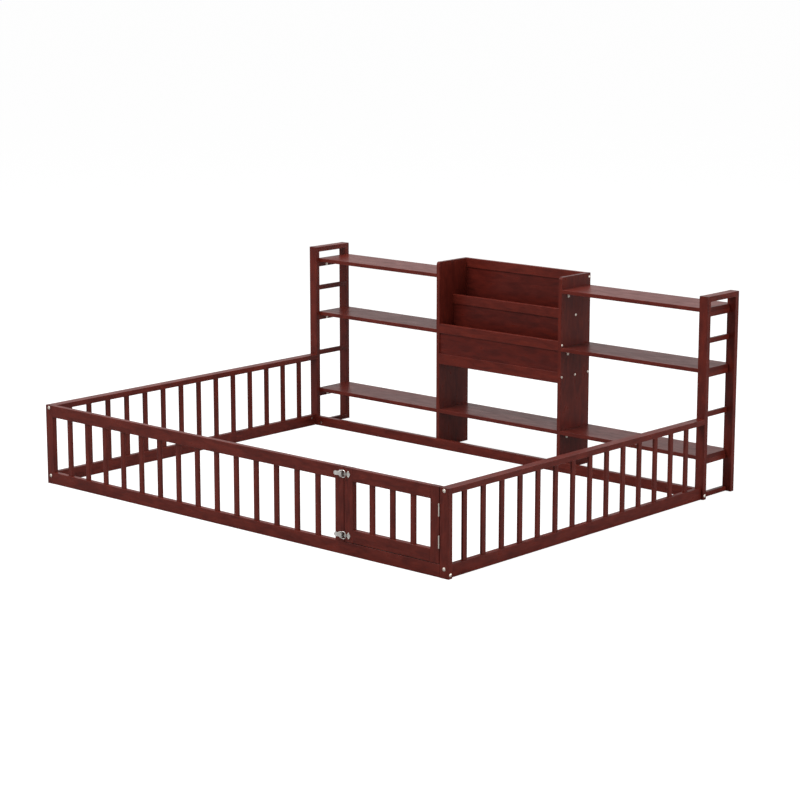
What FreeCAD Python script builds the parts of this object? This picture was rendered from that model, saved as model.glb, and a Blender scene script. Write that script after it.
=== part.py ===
import FreeCAD, Part
import math
import os

# Floor bed: a low slatted fence with a gate, and a headboard of ladders, shelves and a bookcase.
# X runs across the width, +Y to the headboard, +Z up. The origin is on the floor,
# in the middle of the footprint with the latches that stand proud of the front.

os.makedirs("parts", exist_ok=True)

# Overall sizes, over the timber
overall_width = 1988.8
overall_depth = 1618.0
overall_height = 749.3
fence_height = 300.0
headboard_depth = 197.9

# Timber stock
post_width = 38.0
post_thickness = 20.0
rail_height = 44.0
rail_thickness = 20.0
flat_rail_thickness = 20.0
back_rail_height = 38.0
edge_radius = 1.6

# Slats and their mortises
slat_width = 21.0
slat_thickness = 9.0
slat_chamfer = 1.5
slat_tenon = 10.0
mortise_clearance = 0.15
mortise_end_gap = 0.5
front_slat_count = 14
side_slat_count = 14
gate_slat_count = 3
side_slat_shift = 5.0

# Gate
gate_width = 417.2
gate_stile_width = 38.6
latch_stile_width = 40.0
gate_latch_gap = 2.0
gate_hinge_gap = 2.2
gate_floor_gap = 2.0

# Butt hinges
hinge_height = 42.0
hinge_knuckles = 5
knuckle_radius = 2.3
knuckle_gap = 0.35
knuckle_stand_off = 0.3
hinge_pin_radius = 1.2
hinge_pin_head_radius = 1.9
hinge_pin_head_height = 0.8
leaf_thickness = 0.9
leaf_depth = 16.0
upper_hinge_inset = 75.0
lower_hinge_inset = 73.0
pin_clearance = 0.05

# Toggle latches, measured outwards from the face of the fence
latch_inset = 22.0
latch_plate_thickness = 1.2
latch_pivot_height = 5.2
latch_pivot_inset = 6.0
lever_length = 30.0
lever_width = 13.0
lever_waist_width = 9.6
lever_tip_width = 15.0
lever_cover_height = 2.0
lever_lift = 2.2
loop_pivot_offset = 8.0
latch_pin_radius = 1.5
latch_pin_head_radius = 2.3
latch_pin_head_height = 0.5
latch_side_gap = 0.4
latch_ear_radius = 3.8
latch_cheek_radius = 3.3
base_plate_reach = 21.0
base_plate_nose = 5.0
base_corner_radius = 3.0
loop_wire_radius = 1.3
loop_half_width = 12.2
loop_bend_radius = 8.0
loop_neck_radius = 5.0
loop_corner_radius = 2.4
loop_end_insert = 1.0
hook_gap = 0.35
hook_inset = 6.0
hook_thickness = 1.5
hook_height = 7.6
hook_width = 7.6
catch_height = 28.0
catch_width = 18.0
catch_tip_radius = 2.6
catch_tongue = 4.0
small_screw_radius = 1.4
small_screw_head_radius = 2.4
small_screw_head_height = 1.0
small_screw_length = 12.0
catch_screw_spacing = 18.0
base_screw_spacing = 8.0
base_screw_inset = 3.6

# Ladders; rungs and shelf cleats are the same stock
rung_height = 19.0
rung_thickness = 11.5
rung_below_bay_middle = 3.0
ladder_foot_rail_height = 18.0
ladder_foot_rail_thickness = 16.5
housing_depth = 8.0

# Shelves, and the angle brackets under the ends of the side shelves
shelf_thickness = 15.0
upper_shelf_drop = 47.3
middle_shelf_drop = 270.3
lower_shelf_top = 156.0
notch_clearance = 0.5
centre_shelf_dado = 5.0
bracket_inset = 42.0
bracket_width = 12.0
bracket_drop = 18.0
bracket_reach = 18.0
bracket_metal = 1.6
bracket_end_radius = 2.5
bracket_hole_inset = 11.0
bracket_screw_radius = 1.7
bracket_screw_head_radius = 3.2
bracket_screw_head_height = 1.3
bracket_screw_length = 11.0

# Bookcase
bookcase_width = 628.0
bookcase_panel_thickness = 15.0
bookcase_corner_radius = 10.0
tier_board_thickness = 15.0
tier_rail_height = 37.0
tier_base_rail_height = 43.0
rack_height = 409.3
middle_tier_drop = 137.8
front_tier_drop = 246.8
tier_sheet_thickness = 6.0
tier_groove_depth = 5.0
groove_clearance = 0.15
pocket_floor_thickness = 12.0

# Furniture bolts, barrel nuts and dowels
bolt_radius = 3.0
bolt_hole_clearance = 0.25
corner_bolt_head_radius = 6.5
bookcase_bolt_head_radius = 5.2
bolt_head_height = 2.6
bolt_head_edge = 0.7
bolt_socket_radius = 2.3
bolt_socket_depth = 1.5
bolt_end_space = 2.0
bolt_past_nut = 3.0
nut_radius = 5.0
nut_length = 15.0
nut_hole_clearance = 0.1
nut_setback = 22.0
front_rail_bolt_height = 13.0
side_rail_bolt_height = 31.0
front_top_rail_bolt_drop = 33.0
back_rail_bolt_height = 14.0
bookcase_bolt_length = 50.0
tier_bolt_drop = 15.5
tier_base_bolt_rise = 23.5
dowel_radius = 4.0
dowel_length = 30.0
dowel_clearance = 0.05
dowel_end_gap = 1.0
dowel_edge_inset = 11.0

# Places worked out from the sizes
latch_proud = latch_pivot_height + lever_cover_height + latch_plate_thickness + lever_lift
half_width = overall_width / 2
front_y = (latch_proud - overall_depth) / 2
back_y = front_y + overall_depth
post_rear_y = front_y + post_thickness
ladder_front_y = back_y - headboard_depth
ladder_front_rear_y = ladder_front_y + post_thickness
ladder_back_y = back_y - post_thickness
post_inner_x = half_width - post_width
post_middle_x = half_width - post_width / 2
front_middle_y = front_y + rail_thickness / 2
side_rail_top = fence_height - flat_rail_thickness
bookcase_half = bookcase_width / 2
bookcase_inner_half = bookcase_half - bookcase_panel_thickness
upper_shelf_top = overall_height - upper_shelf_drop
middle_shelf_top = overall_height - middle_shelf_drop
upper_rung_level = (middle_shelf_top + upper_shelf_top - shelf_thickness) / 2 - rung_below_bay_middle
lower_rung_level = (lower_shelf_top + middle_shelf_top - shelf_thickness) / 2 - rung_below_bay_middle
shelf_end_x = post_inner_x + rung_thickness
tier_base_height = overall_height - rack_height
middle_tier_top = overall_height - middle_tier_drop
front_tier_top = overall_height - front_tier_drop
gate_right_x = post_inner_x - gate_hinge_gap
gate_left_x = gate_right_x - gate_width
gate_bottom = rail_height + gate_floor_gap
latch_stile_right_x = gate_left_x - gate_latch_gap
latch_stile_left_x = latch_stile_right_x - latch_stile_width

ALONG_X = FreeCAD.Vector(1, 0, 0)
ALONG_Y = FreeCAD.Vector(0, 1, 0)
ALONG_Z = FreeCAD.Vector(0, 0, 1)

# Timber pieces get the holes and seats that reach them; fittings are whole as made.
# A seat is kept with the name of the piece that sits in it, which it doesn't cut.
timber = {}
fittings = {}
holes = []
seats = []


def at(x, y, z):
    """Point in space."""
    return FreeCAD.Vector(x, y, z)


def block(xs, ys, zs):
    """Plain box between three pairs of planes, each pair in any order."""
    low = [min(pair) for pair in (xs, ys, zs)]
    size = [max(pair) - min(pair) for pair in (xs, ys, zs)]
    return Part.makeBox(size[0], size[1], size[2], at(*low))


def edges_along(solid, axis):
    """Straight edges of a solid that run along an axis."""
    return [edge for edge in solid.Edges
            if round(abs(edge.tangentAt(edge.FirstParameter).dot(axis))) == 1]


def board(xs, ys, zs, grain):
    """Board whose four edges along the grain are rounded."""
    solid = block(xs, ys, zs)
    return solid.makeFillet(edge_radius, edges_along(solid, grain))


def grown(xs, ys, zs, clearance):
    """Box with the same clearance added on every side, as a cutter."""
    pairs = [(min(pair) - clearance, max(pair) + clearance) for pair in (xs, ys, zs)]
    return block(*pairs)


def rod(start, direction, length, radius):
    """Round bar."""
    return Part.makeCylinder(radius, length, start, direction)


def turned(points, base, axis):
    """Solid of revolution from (radius, height) points, with its foot at base and its height along axis."""
    corners = [at(radius, 0, height) for radius, height in points]
    outline = Part.makePolygon(corners + corners[:1])
    solid = Part.Face(outline).revolve(at(0, 0, 0), ALONG_Z, 360)
    solid.Placement = FreeCAD.Placement(base, FreeCAD.Rotation(ALONG_Z, axis))
    return solid


def headed(point, inwards, length, radius, head_radius, head_height, head_edge):
    """Domed head on a plain shank: point is on the surface under the head."""
    crown_share = 0.72
    head = turned([(0, 0), (head_radius, 0), (head_radius, head_edge),
                   (head_radius * crown_share, (head_edge + head_height) / 2 + head_edge / 2),
                   (head_radius * crown_share / 2, head_height), (0, head_height)],
                  point, inwards * -1)
    return head.fuse(rod(point, inwards, length, radius))


def screw(point, inwards, length, radius, head_radius, head_height):
    """Screw with a low bevelled head; it cuts its own hole in the timber."""
    crown_share = 0.6
    head = turned([(0, 0), (head_radius, 0), (head_radius * crown_share, head_height), (0, head_height)],
                  point, inwards * -1)
    holes.append(rod(point, inwards, length, radius + pin_clearance))
    return head.fuse(rod(point, inwards, length, radius))


def bolt(point, inwards, length, head_radius):
    """Furniture bolt with a domed head and a socket; it cuts its own hole in the timber."""
    solid = headed(point, inwards, length, bolt_radius, head_radius, bolt_head_height, bolt_head_edge)
    crown = point - inwards * bolt_head_height
    corners = [at(bolt_socket_radius * math.cos(math.radians(angle)),
                  bolt_socket_radius * math.sin(math.radians(angle)), 0) for angle in range(0, 360, 60)]
    socket = Part.Face(Part.makePolygon(corners + corners[:1])).extrude(ALONG_Z * bolt_socket_depth)
    socket.Placement = FreeCAD.Placement(crown, FreeCAD.Rotation(ALONG_Z, inwards))
    holes.append(rod(point, inwards, length + bolt_end_space, bolt_radius + bolt_hole_clearance))
    return solid.cut(socket)


def barrel_nut(face_point, inwards, bolt_axis):
    """Cross dowel nut let in from a face, centred on the bolt in the middle of the rail."""
    middle = face_point + inwards * (rail_thickness / 2)
    start = middle - inwards * (nut_length / 2)
    bore = rod(middle - bolt_axis * nut_length, bolt_axis, nut_length * 2, bolt_radius + pin_clearance)
    holes.append(rod(face_point, inwards, (rail_thickness + nut_length) / 2 + mortise_end_gap,
                     nut_radius + nut_hole_clearance))
    return rod(start, inwards, nut_length, nut_radius).cut(bore)


def dowel(joint, direction):
    """Wooden dowel half in each of the two pieces that meet at the joint."""
    half = dowel_length / 2
    hole_half = half + dowel_end_gap
    holes.append(rod(joint - direction * hole_half, direction, hole_half * 2, dowel_radius + dowel_clearance))
    return rod(joint - direction * half, direction, dowel_length, dowel_radius)


def even_places(start, end, count, width):
    """Low edges of equal pieces set with equal gaps between two planes."""
    gap = (end - start - count * width) / (count + 1)
    return [start + gap + index * (width + gap) for index in range(count)]


def slat_row(name, places, middle, run, bottom, top):
    """Slats with eased edges, tenoned top and bottom, and the mortises they need."""
    slats = []
    for low in places:
        wide = (low, low + slat_width)
        thin = (middle - slat_thickness / 2, middle + slat_thickness / 2)
        tall = (bottom - slat_tenon, top + slat_tenon)
        xs, ys = (wide, thin) if run == ALONG_X else (thin, wide)
        slat = block(xs, ys, tall)
        slats.append(slat.makeChamfer(slat_chamfer, edges_along(slat, ALONG_Z)))
        for seat in (bottom, top):
            reach = slat_tenon + mortise_end_gap - mortise_clearance
            seats.append((name, grown(xs, ys, (seat - reach, seat + reach), mortise_clearance)))
    timber[name] = Part.makeCompound(slats)


def drilled(name, solid):
    """A timber solid with every hole and seat that reaches it."""
    tools = holes + [seat for owner, seat in seats if owner != name]
    tools = [tool for tool in tools if tool.BoundBox.intersect(solid.BoundBox)]
    return solid.cut(tools) if tools else solid


def fence_corners():
    """Posts, rails and slats of the fence around the mattress."""
    for side, name in ((-1, "left"), (1, "right")):
        outer, inner = side * half_width, side * post_inner_x
        rail_low = side * (post_middle_x - rail_thickness / 2)
        rail_high = side * (post_middle_x + rail_thickness / 2)
        timber["front_%s_post" % name] = board((inner, outer), (front_y, post_rear_y), (0, fence_height), ALONG_Z)
        timber["%s_top_rail" % name] = board((inner, outer), (post_rear_y, ladder_front_y),
                                            (side_rail_top, fence_height), ALONG_Y)
        timber["%s_bottom_rail" % name] = board((rail_low, rail_high), (post_rear_y, ladder_front_y),
                                               (0, rail_height), ALONG_Y)
        places = [low - side_slat_shift
                  for low in even_places(post_rear_y, ladder_front_y, side_slat_count, slat_width)]
        slat_row("%s_slats" % name, places, side * post_middle_x, ALONG_Y, rail_height, side_rail_top)
    timber["front_bottom_rail"] = board((-post_inner_x, post_inner_x), (front_y, front_y + rail_thickness),
                                       (0, rail_height), ALONG_X)
    timber["front_top_rail"] = board((-post_inner_x, latch_stile_left_x), (front_y, front_y + rail_thickness),
                                    (fence_height - rail_height, fence_height), ALONG_X)
    timber["front_latch_stile"] = board((latch_stile_left_x, latch_stile_right_x), (front_y, front_y + rail_thickness),
                                       (rail_height, fence_height), ALONG_Z)
    places = even_places(-post_inner_x, latch_stile_left_x, front_slat_count, slat_width)
    slat_row("front_slats", places, front_middle_y, ALONG_X, rail_height, fence_height - rail_height)
    timber["back_bottom_rail"] = board((-post_inner_x, post_inner_x), (ladder_front_y, ladder_front_rear_y),
                                      (0, back_rail_height), ALONG_X)


def gate_frame():
    """Stiles, rails and slats of the gate."""
    thick = (front_y, front_y + rail_thickness)
    stile_left_end = gate_left_x + gate_stile_width
    stile_right_start = gate_right_x - gate_stile_width
    bottom_rail_top = gate_bottom + rail_height
    top_rail_bottom = fence_height - rail_height
    timber["gate_latch_stile"] = board((gate_left_x, stile_left_end), thick, (gate_bottom, fence_height), ALONG_Z)
    timber["gate_hinge_stile"] = board((stile_right_start, gate_right_x), thick, (gate_bottom, fence_height), ALONG_Z)
    timber["gate_top_rail"] = board((stile_left_end, stile_right_start), thick, (top_rail_bottom, fence_height), ALONG_X)
    timber["gate_bottom_rail"] = board((stile_left_end, stile_right_start), thick, (gate_bottom, bottom_rail_top),
                                      ALONG_X)
    places = even_places(stile_left_end, stile_right_start, gate_slat_count, slat_width)
    slat_row("gate_slats", places, front_middle_y, ALONG_X, bottom_rail_top, top_rail_bottom)
    levels = [gate_bottom + dowel_edge_inset, bottom_rail_top - dowel_edge_inset,
              top_rail_bottom + dowel_edge_inset, fence_height - dowel_edge_inset]
    fittings["gate_dowels"] = Part.makeCompound([dowel(at(x, front_middle_y, level), ALONG_X)
                                              for x in (stile_left_end, stile_right_start) for level in levels])


def ladders():
    """The two end ladders: posts, top rail, rungs, foot rail and the cleats that carry the shelves."""
    cleats = []
    between = (ladder_front_rear_y, ladder_back_y)
    housed = (ladder_front_rear_y - housing_depth, ladder_back_y + housing_depth)
    for side, name in ((-1, "left"), (1, "right")):
        outer, inner = side * half_width, side * post_inner_x
        timber["%s_ladder_front_post" % name] = board((inner, outer), (ladder_front_y, ladder_front_rear_y),
                                                     (0, overall_height), ALONG_Z)
        timber["%s_ladder_back_post" % name] = board((inner, outer), (ladder_back_y, back_y),
                                                    (0, overall_height), ALONG_Z)
        rails = [board((inner, outer), between, (overall_height - flat_rail_thickness, overall_height), ALONG_Y)]
        thick = (inner, inner + side * rung_thickness)
        foot = (inner, inner + side * ladder_foot_rail_thickness)
        housed_rails = [(foot, (0, ladder_foot_rail_height))]
        for level in (lower_rung_level, upper_rung_level):
            housed_rails.append((thick, (level - rung_height / 2, level + rung_height / 2)))
        for wide, tall in housed_rails:
            rails.append(board(wide, housed, tall, ALONG_Y))
            seats.append(("%s_ladder_rails" % name, grown(wide, housed, tall, mortise_clearance)))
        timber["%s_ladder_rails" % name] = Part.makeCompound(rails)
        for top in (lower_shelf_top, middle_shelf_top, upper_shelf_top):
            seat = top - shelf_thickness
            low = seat - rung_height
            cleats.append(board(thick, housed, (low, seat), ALONG_Y))
            seats.append(("ladder_cleats", grown(thick, housed, (low, seat - mortise_clearance), mortise_clearance)))
    timber["ladder_cleats"] = Part.makeCompound(cleats)


def shelves():
    """Side shelves, notched round the back posts, and the low shelf inside the bookcase."""
    deep = (ladder_front_rear_y, back_y)
    levels = (("lower", lower_shelf_top), ("middle", middle_shelf_top), ("upper", upper_shelf_top))
    for side, name in ((-1, "left"), (1, "right")):
        for level, top in levels:
            shelf = board((side * bookcase_half, side * shelf_end_x), deep, (top - shelf_thickness, top), ALONG_X)
            notch = grown((side * post_inner_x, side * half_width), (ladder_back_y, back_y + post_thickness),
                          (0, overall_height), notch_clearance)
            timber["%s_%s_shelf" % (name, level)] = shelf.cut(notch)
    reach = bookcase_inner_half + centre_shelf_dado
    tall = (lower_shelf_top - shelf_thickness, lower_shelf_top)
    timber["centre_shelf"] = board((-reach, reach), deep, tall, ALONG_X)
    seats.append(("centre_shelf", grown((-reach, reach), deep, tall, mortise_clearance)))


def bookcase_side(side):
    """Side panel cut to its outline, with a round top front corner."""
    radius = bookcase_corner_radius
    front = ladder_front_rear_y
    slant = radius * (1 - math.cos(math.radians(45)))
    x = side * bookcase_inner_half if side > 0 else -bookcase_half
    top = overall_height
    arc = Part.Arc(at(x, front, top - radius), at(x, front + slant, top - slant), at(x, front + radius, top))
    corners = [at(x, front + radius, top), at(x, back_y, top), at(x, back_y, 0), at(x, front, 0),
               at(x, front, top - radius)]
    outline = Part.Wire([arc.toShape()] + Part.makePolygon(corners).Edges)
    return Part.Face(outline).extrude(ALONG_X * bookcase_panel_thickness)


def bookcase():
    """Book rack of three stepped tiers between two side panels, with floors for the two pockets."""
    for side, name in ((-1, "left"), (1, "right")):
        timber["bookcase_%s_side" % name] = bookcase_side(side)
    inside = (-bookcase_inner_half, bookcase_inner_half)
    pitch = (headboard_depth - post_thickness - tier_board_thickness) / 2
    fronts = [ladder_front_rear_y, ladder_front_rear_y + pitch, back_y - tier_board_thickness]
    tops = [front_tier_top, middle_tier_top, overall_height]
    base_top = tier_base_height + tier_base_rail_height
    sheets = []
    for name, low, top in zip(("front", "middle", "back"), fronts, tops):
        thick = (low, low + tier_board_thickness)
        timber["%s_tier_rails" % name] = Part.makeCompound([
            board(inside, thick, (tier_base_height, base_top), ALONG_X),
            board(inside, thick, (top - tier_rail_height, top), ALONG_X)])
        centre = low + tier_board_thickness / 2
        sheet = (centre - tier_sheet_thickness / 2, centre + tier_sheet_thickness / 2)
        reach = bookcase_inner_half + tier_groove_depth
        tall = (base_top - tier_groove_depth, top - tier_rail_height + tier_groove_depth)
        sheets.append(block((-reach, reach), sheet, tall))
        seats.append(("tier_panels", grown((-reach, reach), sheet, tall, groove_clearance)))
    timber["tier_panels"] = Part.makeCompound(sheets)
    floors = []
    for near, far in zip(fronts[:-1], fronts[1:]):
        floors.append(board(inside, (near + tier_board_thickness, far),
                            (tier_base_height, tier_base_height + pocket_floor_thickness), ALONG_X))
    timber["pocket_floors"] = Part.makeCompound(floors)
    bolts = []
    for side in (-1, 1):
        for low, top in zip(fronts, tops):
            y = low + tier_board_thickness / 2
            for level in (tier_base_height + tier_base_bolt_rise, top - tier_bolt_drop):
                bolts.append(bolt(at(side * bookcase_half, y, level), ALONG_X * -side, bookcase_bolt_length,
                                  bookcase_bolt_head_radius))
    fittings["bookcase_bolts"] = Part.makeCompound(bolts)


def shelf_bracket(face_x, away, y, seat, brackets, screws):
    """Angle bracket between an upright face and the underside of a shelf, with a screw in each leg."""
    wide = (y - bracket_width / 2, y + bracket_width / 2)
    upright = block((face_x, face_x + away * bracket_metal), wide, (seat - bracket_drop, seat))
    upright = upright.makeFillet(bracket_end_radius, [edge for edge in edges_along(upright, ALONG_X)
                                                      if edge.CenterOfMass.z < seat - bracket_metal])
    flat = block((face_x, face_x + away * bracket_reach), wide, (seat - bracket_metal, seat))
    flat = flat.makeFillet(bracket_end_radius, [edge for edge in edges_along(flat, ALONG_Z)
                                                if abs(edge.CenterOfMass.x - face_x) > bracket_metal])
    bracket = upright.fuse(flat)
    for point, inwards in ((at(face_x + away * bracket_metal, y, seat - bracket_hole_inset), ALONG_X * -away),
                           (at(face_x + away * bracket_hole_inset, y, seat - bracket_metal), ALONG_Z)):
        bracket = bracket.cut(rod(point, inwards, bracket_metal, bracket_screw_radius + pin_clearance))
        screws.append(screw(point, inwards, bracket_screw_length, bracket_screw_radius,
                            bracket_screw_head_radius, bracket_screw_head_height))
    brackets.append(bracket.removeSplitter())


def shelf_brackets():
    """Angle brackets under both ends of the side shelves, on the bookcase and on the ladder cleats."""
    brackets, screws = [], []
    for side in (-1, 1):
        for top in (lower_shelf_top, middle_shelf_top, upper_shelf_top):
            for y in (ladder_front_rear_y + bracket_inset, ladder_back_y - bracket_inset):
                seat = top - shelf_thickness
                shelf_bracket(side * bookcase_half, side, y, seat, brackets, screws)
                shelf_bracket(side * post_inner_x, -side, y, seat, brackets, screws)
    fittings["shelf_brackets"] = Part.makeCompound(brackets)
    fittings["bracket_screws"] = Part.makeCompound(screws)


def corner_fasteners():
    """Bolts through the posts into the rail ends, each with its barrel nut."""
    bolts, nuts = [], []
    past_face = nut_setback + nut_radius + bolt_past_nut
    for side in (-1, 1):
        outwards = ALONG_X * side
        inwards = ALONG_X * -side
        rail_inner = side * (post_middle_x - rail_thickness / 2)
        for face_y, direction, seat_y in ((front_y, ALONG_Y, post_rear_y),
                                          (ladder_front_rear_y, ALONG_Y * -1, ladder_front_y)):
            length = post_thickness + past_face
            nut_y = seat_y + direction.y * nut_setback
            high = fence_height - flat_rail_thickness / 2
            for level in (high, side_rail_bolt_height):
                bolts.append(bolt(at(side * post_middle_x, face_y, level), direction, length,
                                  corner_bolt_head_radius))
            nuts.append(barrel_nut(at(side * post_middle_x, nut_y, side_rail_top), ALONG_Z, direction))
            nuts.append(barrel_nut(at(rail_inner, nut_y, side_rail_bolt_height), outwards, direction))
        across = [(front_rail_bolt_height, front_middle_y, front_y + rail_thickness, ALONG_Y * -1),
                  (back_rail_bolt_height, ladder_front_y + post_thickness / 2, ladder_front_y, ALONG_Y)]
        if side < 0:
            across.append((fence_height - front_top_rail_bolt_drop, front_middle_y, front_y + rail_thickness,
                           ALONG_Y * -1))
        for level, y, nut_face, nut_way in across:
            bolts.append(bolt(at(side * half_width, y, level), inwards, post_width + past_face,
                              corner_bolt_head_radius))
            nuts.append(barrel_nut(at(side * (post_inner_x - nut_setback), nut_face, level), nut_way, inwards))
    fittings["corner_bolts"] = Part.makeCompound(bolts)
    fittings["barrel_nuts"] = Part.makeCompound(nuts)


def frame_dowels():
    """Dowels of the ladder top rails and of the fence's latch stile."""
    dowels = []
    for side in (-1, 1):
        for y in (ladder_front_rear_y, ladder_back_y):
            for x in (post_inner_x + dowel_edge_inset, half_width - dowel_edge_inset):
                dowels.append(dowel(at(side * x, y, overall_height - flat_rail_thickness / 2), ALONG_Y))
    for level in (fence_height - rail_height + dowel_edge_inset, fence_height - dowel_edge_inset):
        dowels.append(dowel(at(latch_stile_left_x, front_middle_y, level), ALONG_X))
    for x in (latch_stile_left_x + dowel_edge_inset, latch_stile_right_x - dowel_edge_inset):
        dowels.append(dowel(at(x, front_middle_y, rail_height), ALONG_Z))
    fittings["frame_dowels"] = Part.makeCompound(dowels)


def butt_hinges():
    """Two butt hinges: leaves in the gap beside the gate, knuckles proud of the front, loose pins."""
    axis_x = (gate_right_x + post_inner_x) / 2
    axis_y = front_y - knuckle_radius - knuckle_stand_off
    pitch = hinge_height / hinge_knuckles
    post_leaves, gate_leaves, pins = [], [], []
    for centre in (gate_bottom + lower_hinge_inset, fence_height - upper_hinge_inset):
        low = centre - hinge_height / 2
        tall = (low, low + hinge_height)
        deep = (axis_y, front_y + leaf_depth)
        bore = rod(at(axis_x, axis_y, low), ALONG_Z, hinge_height, hinge_pin_radius + pin_clearance)
        for first, plate_x, leaves in ((0, (post_inner_x - leaf_thickness, post_inner_x), post_leaves),
                                       (1, (gate_right_x, gate_right_x + leaf_thickness), gate_leaves)):
            leaf = block(plate_x, deep, tall)
            for index in range(hinge_knuckles):
                start = low + index * pitch
                if index % 2 == first:
                    barrel = rod(at(axis_x, axis_y, start + knuckle_gap / 2), ALONG_Z, pitch - knuckle_gap,
                                 knuckle_radius)
                    leaf = leaf.fuse(barrel)
            for index in range(hinge_knuckles):
                if index % 2 != first:
                    leaf = leaf.cut(rod(at(axis_x, axis_y, low + index * pitch - knuckle_gap / 2), ALONG_Z,
                                        pitch + knuckle_gap, knuckle_radius + knuckle_gap))
            leaves.append(leaf.cut(bore))
        pin = rod(at(axis_x, axis_y, low), ALONG_Z, hinge_height, hinge_pin_radius)
        for base, way in ((low, ALONG_Z * -1), (low + hinge_height, ALONG_Z)):
            pin = pin.fuse(turned([(0, 0), (hinge_pin_head_radius, 0),
                                   (hinge_pin_head_radius, hinge_pin_head_height / 2),
                                   (hinge_pin_head_radius / 2, hinge_pin_head_height),
                                   (0, hinge_pin_head_height)], at(axis_x, axis_y, base), way))
        pins.append(pin)
    fittings["hinge_post_leaves"] = Part.makeCompound(post_leaves)
    fittings["hinge_gate_leaves"] = Part.makeCompound(gate_leaves)
    fittings["hinge_pins"] = Part.makeCompound(pins)


def bent_wire(points, bend_radii, radius):
    """Round wire along straight runs and tangent bends; bend_radii holds one radius for each inner point."""
    pieces = []
    start = points[0]
    for before, corner, after, bend in zip(points, points[1:], points[2:], bend_radii):
        to_before = (before - corner).normalize()
        to_after = (after - corner).normalize()
        half_angle = to_before.getAngle(to_after) / 2
        setback = bend / math.tan(half_angle)
        first = corner + to_before * setback
        centre = corner + (to_before + to_after).normalize() * (bend / math.sin(half_angle))
        turn_axis = to_after.cross(to_before).normalize()
        turn = math.degrees(math.pi - half_angle * 2)
        section = Part.Face(Part.Wire([Part.Circle(first, to_before, radius).toShape()]))
        pieces.append(rod(start, to_before * -1, (first - start).Length, radius))
        pieces.append(section.revolve(centre, turn_axis, turn))
        start = corner + to_after * setback
    pieces.append(rod(start, points[-1] - start, (points[-1] - start).Length, radius))
    return pieces[0].fuse(pieces[1:]).removeSplitter()


def toggle_latch(centre, name, bases, catches, pins, screws, hook_screws):
    """One toggle latch: base with two ears, stamped lever, wire loop, and the hook plate on the gate."""
    pivot_x = latch_stile_right_x - latch_pivot_inset
    pivot_y = front_y - latch_pivot_height
    face = front_y - latch_plate_thickness
    cheek_outer = lever_width / 2
    ear_inner = cheek_outer + latch_side_gap
    ear_outer = ear_inner + latch_plate_thickness
    pin_end = ear_outer + latch_pin_head_height

    plate = block((pivot_x - base_plate_reach, pivot_x + base_plate_nose), (face, front_y),
                  (centre - ear_outer, centre + ear_outer))
    base = plate.makeFillet(base_corner_radius, edges_along(plate, ALONG_Y))
    for low in (centre - ear_outer, centre + ear_inner):
        ear = block((pivot_x - latch_ear_radius, pivot_x + latch_ear_radius), (pivot_y, front_y),
                    (low, low + latch_plate_thickness))
        base = base.fuse(ear).fuse(rod(at(pivot_x, pivot_y, low), ALONG_Z, latch_plate_thickness, latch_ear_radius))
    bore = rod(at(pivot_x, pivot_y, centre - pin_end), ALONG_Z, pin_end * 2, latch_pin_radius + pin_clearance)
    base = base.cut(bore)
    for way in (-1, 1):
        point = at(pivot_x - base_plate_reach + base_screw_inset, face, centre + way * base_screw_spacing / 2)
        base = base.cut(rod(point, ALONG_Y, latch_plate_thickness, small_screw_radius + pin_clearance))
        screws.append(screw(point, ALONG_Y, small_screw_length, small_screw_radius, small_screw_head_radius,
                            small_screw_head_height))
    bases.append(base)

    pin = rod(at(pivot_x, pivot_y, centre - ear_outer), ALONG_Z, ear_outer * 2, latch_pin_radius)
    for low in (centre - pin_end, centre + ear_outer):
        pin = pin.fuse(rod(at(pivot_x, pivot_y, low), ALONG_Z, latch_pin_head_height, latch_pin_head_radius))
    pins.append(pin)

    fittings["%s_latch_lever" % name] = lever(pivot_x, pivot_y, centre)
    hook_left = gate_left_x + hook_inset
    loop_end_x = hook_left + hook_thickness + hook_gap + loop_wire_radius
    loop_start_x = pivot_x - loop_pivot_offset
    leg = pin_end + latch_side_gap + loop_wire_radius
    fittings["%s_latch_loop" % name] = wire_loop(loop_start_x, loop_end_x, pivot_y, centre, leg)

    plate_x = hook_left + catch_tongue + catch_width / 2
    catch = hook_plate(hook_left, plate_x, centre)
    for way in (-1, 1):
        point = at(plate_x, face, centre + way * catch_screw_spacing / 2)
        catch = catch.cut(rod(point, ALONG_Y, latch_plate_thickness, small_screw_radius + pin_clearance))
        hook_screws.append(screw(point, ALONG_Y, small_screw_length, small_screw_radius, small_screw_head_radius,
                                 small_screw_head_height))
    catches.append(catch)


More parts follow.
